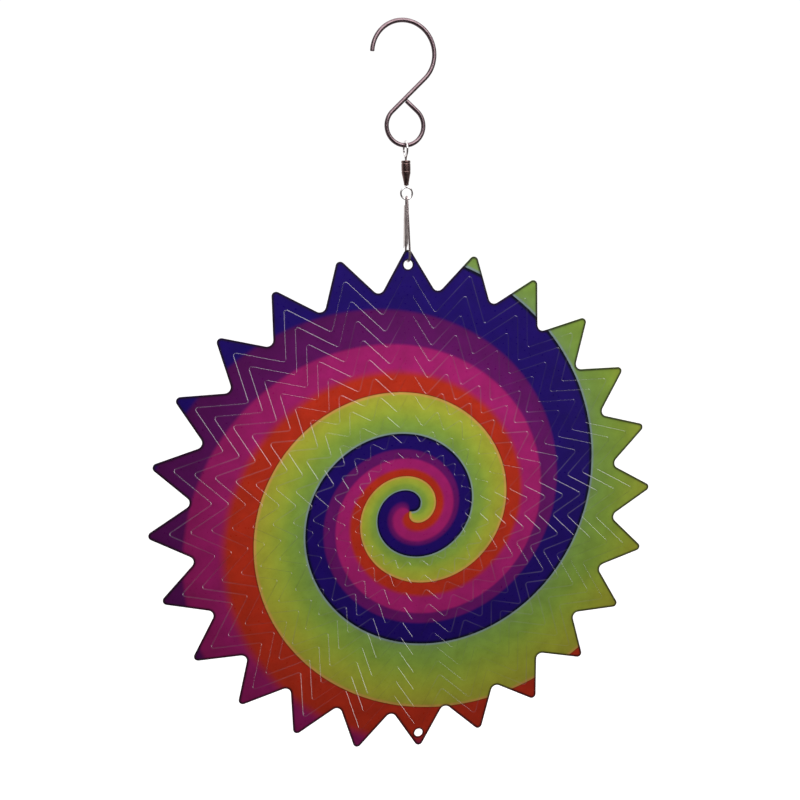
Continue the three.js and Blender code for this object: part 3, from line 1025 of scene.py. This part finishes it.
def give_disc_map(piece):
    """A map that holds each point's place on the flat disc, so the print follows the sheet."""
    layer = piece.data.uv_layers.new(name="disc")
    for loop in piece.data.loops:
        at = piece.data.vertices[loop.vertex_index].co
        layer.data[loop.index].uv = (at.x, at.z - DISC_Z * MM)


def circle(centre_z, radius):
    return [(radius * math.cos(2 * math.pi * i / HOLE_SIDES),
             centre_z + radius * math.sin(2 * math.pi * i / HOLE_SIDES))
            for i in range(HOLE_SIDES)]


def ring_name(index):
    return f"ring_{index + 1:02d}"


def make_rim_ring(materials):
    """The toothed outer ring, with a dark band along its outline and both hanging holes."""
    sheet = SheetBuilder()
    edges = [sheet.edge(lambda offset: star_loop(OUTLINE_EDGE, offset), -1, RIM_BAND, DARK_BAND_TINT)]
    for place in (TIP_R - HOLE_INSET, HOLE_INSET - TIP_R):
        edges.append(sheet.edge(lambda offset: circle(place, HOLE_R + offset), 1, HOLE_BAND,
                                DARK_BAND_TINT))
    edges.append(sheet.slit(slit_edge(0, 1), 1))
    for rows in zip(*edges):
        sheet.fill(rows)
    settle(sheet.done("sheet_ring_01", materials), "ring_01", "disc_ring_01")


def make_ring(index, materials):
    sheet = SheetBuilder()
    outside = sheet.slit(slit_edge(index - 1, -1, NECK_REACH), -1)
    inside = sheet.slit(slit_edge(index, 1), 1)
    for first, second in zip(outside, inside):
        bridge(sheet.bm, first, second)
    piece = sheet.done(f"sheet_ring_{index + 1:02d}", materials)
    settle(piece, ring_name(index), f"disc_ring_{index + 1:02d}")


def make_centre(materials):
    sheet = SheetBuilder()
    for row in sheet.slit(slit_edge(SLIT_COUNT - 1, -1, NECK_REACH), -1):
        sheet.fill([row])
    settle(sheet.done("sheet_centre", materials), "centre_star",
           "disc_centre_star")


def neck_rows(index):
    """(z, half width) rows of a neck, from inside the inner piece to the outer ring."""
    inner_tip = slit_tip_r(index) - SLIT_SHIFT
    inner_flat = neck_z(index) - SLIT_WIDTH / 2
    outer_flat = neck_z(index) + SLIT_WIDTH / 2
    outer_half = (slit_tip_r(index) + SLIT_SHIFT - outer_flat) * math.tan(TIP_HALF)
    bottom = inner_flat - NECK_REACH - EDGE_BEVEL
    rows = []
    for i in range(NECK_ROWS + 1):
        z = bottom + (inner_flat - bottom) * i / NECK_ROWS
        rows.append((z, (inner_tip - z) * math.tan(TIP_HALF)))
    last = rows[-1][1]
    rows.append(((inner_flat + outer_flat) / 2, (last * 0.8 + outer_half * 0.2) - NECK_WAIST))
    rows.append((outer_flat, outer_half - NECK_TUCK))
    rows.append((outer_flat + EDGE_BEVEL, outer_half - EDGE_BEVEL))
    return rows


def make_neck(index, up, materials):
    """The strip of sheet left uncut across a slit, which twists between the two pieces."""
    bm = bmesh.new()
    bm.verts.layers.float.new("rim")
    half = SHEET / 2
    rows = []
    for z, width in neck_rows(index):
        flat = [width - EDGE_BEVEL - 2 * (width - EDGE_BEVEL) * k / NECK_COLUMNS
                for k in range(NECK_COLUMNS + 1)]
        section = [(x, half) for x in flat]
        section += [(-width, half - EDGE_BEVEL), (-width, EDGE_BEVEL - half)]
        section += [(x, -half) for x in reversed(flat)]
        section += [(width, EDGE_BEVEL - half), (width, half - EDGE_BEVEL)]
        rows.append([bm.verts.new((x, y, DISC_Z + up * z)) for x, y in section])
    for first, second in zip(rows, rows[1:]):
        bridge(bm, first, second)
    for row in (rows[0], rows[-1]):
        bm.faces.new(row)
    for face in bm.faces:
        face.normal_update()
        face.material_index = 0 if abs(face.normal.y) > 0.9 else 1
    where = "top" if up > 0 else "bottom"
    piece = finish_mesh(f"neck_{index + 1:02d}_{where}", bm, materials, SHEET_SHARP_ANGLE)
    give_disc_map(piece)
    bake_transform(piece)


def make_disc(print_material, edge_material):
    materials = [print_material, edge_material]
    make_rim_ring(materials)
    for index in range(1, SLIT_COUNT):
        make_ring(index, materials)
    make_centre(materials)
    for index in range(SLIT_COUNT):
        for up in (1, -1):
            make_neck(index, up, materials)


# ------------------------------------------------------------------ stage

FLOOR_Z = -0.9
FLOOR_R = 8.0
FLOOR_GLOW = 0.62
WORLD_STRENGTH = 1.05

# Softboxes: name, place, aim, size and power.
LIGHTS = (
    ("key", (0.08, -0.40, 0.21), (0.02, 0, -0.2), (0.6, 0.4), 4.6),
    ("top", (0.0, -0.02, 0.42), (0, 0, 0), (0.5, 0.4), 2.0),
    ("sheen", (0.9, -1.1, -0.3), (0, 0, -0.25), (0.6, 0.9), 0.5),
)


def make_floor():
    """Wide pale floor, well below the hanging disc."""
    bm = bmesh.new()
    bmesh.ops.create_circle(bm, cap_ends=True, radius=FLOOR_R / MM, segments=96)
    bmesh.ops.translate(bm, vec=(0, 0, FLOOR_Z / MM), verts=bm.verts)
    material, nodes, shader = new_material("floor")
    at = nodes.add("ShaderNodeTexCoord").outputs["Object"]
    nodes.put(shader.inputs["Base Color"],
              nodes.mix(nodes.noise(at, 2.0), linear(238, 238, 238), linear(246, 246, 246)))
    shader.inputs["Roughness"].default_value = 0.9
    shader.inputs["Specular IOR Level"].default_value = 0.1
    shader.inputs["Emission Color"].default_value = (1, 1, 1, 1)
    shader.inputs["Emission Strength"].default_value = FLOOR_GLOW
    floor = finish_mesh("floor", bm, [material])
    floor.visible_diffuse = False
    floor.visible_glossy = False


def make_world():
    """Studio that is bright behind the disc and dark in front, and white to the camera."""
    world = bpy.data.worlds.new("studio")
    world.use_nodes = True
    nodes = Nodes(world.node_tree)
    split = nodes.add("ShaderNodeSeparateXYZ")
    nodes.put(split.inputs[0], nodes.add("ShaderNodeTexCoord").outputs["Generated"])
    room = nodes.ramp(nodes.remap(split.outputs[1], -1.0, 1.0, 0.0, 1.0), [
        (0.0, (0.05, 0.045, 0.045, 1)),
        (0.32, (0.10, 0.09, 0.09, 1)),
        (0.5, (0.35, 0.34, 0.34, 1)),
        (0.68, (1, 1, 1, 1)),
    ])
    seen = nodes.add("ShaderNodeLightPath").outputs["Is Camera Ray"]
    background = world.node_tree.nodes["Background"]
    nodes.put(background.inputs[0], nodes.mix(seen, room, (1, 1, 1, 1)))
    background.inputs[1].default_value = WORLD_STRENGTH
    bpy.context.scene.world = world


def make_stage():
    make_floor()
    make_world()
    for light in LIGHTS:
        area_light(*light)
    view = bpy.context.scene.view_settings
    view.view_transform = "Standard"
    view.look = "None"
    view.exposure = 0.0
    view.gamma = 1.0


# ------------------------------------------------------------------ assembly

place_camera()
make_stage()
hook_steel = metal("hook_steel", (92, 76, 80), (112, 96, 100), 0.34, (1, 1, 0.2))
eye_steel = metal("eye_steel", (200, 194, 194), (232, 228, 228), 0.16, (1, 1, 0.3))
barrel_nickel = metal("barrel_nickel", (92, 70, 68), (132, 108, 104), 0.3, (0.2, 0.2, 1),
                      grime=(48, 34, 34))
snap_steel = metal("snap_steel", (126, 112, 112), (168, 154, 154), 0.22, (1, 1, 0.15))
clasp_steel = metal("clasp_steel", (178, 166, 164), (206, 196, 194), 0.4, (1, 1, 0.1),
                    grime=(120, 104, 102))
ball_steel = metal("ball_steel", (196, 196, 200), (226, 226, 230), 0.1, (1, 1, 1))
make_hook(hook_steel)
make_swivel(eye_steel, barrel_nickel)
make_snap_wire(snap_steel)
make_clasp(clasp_steel)
make_balls(ball_steel)
make_disc(spiral_print(), inked_edge())
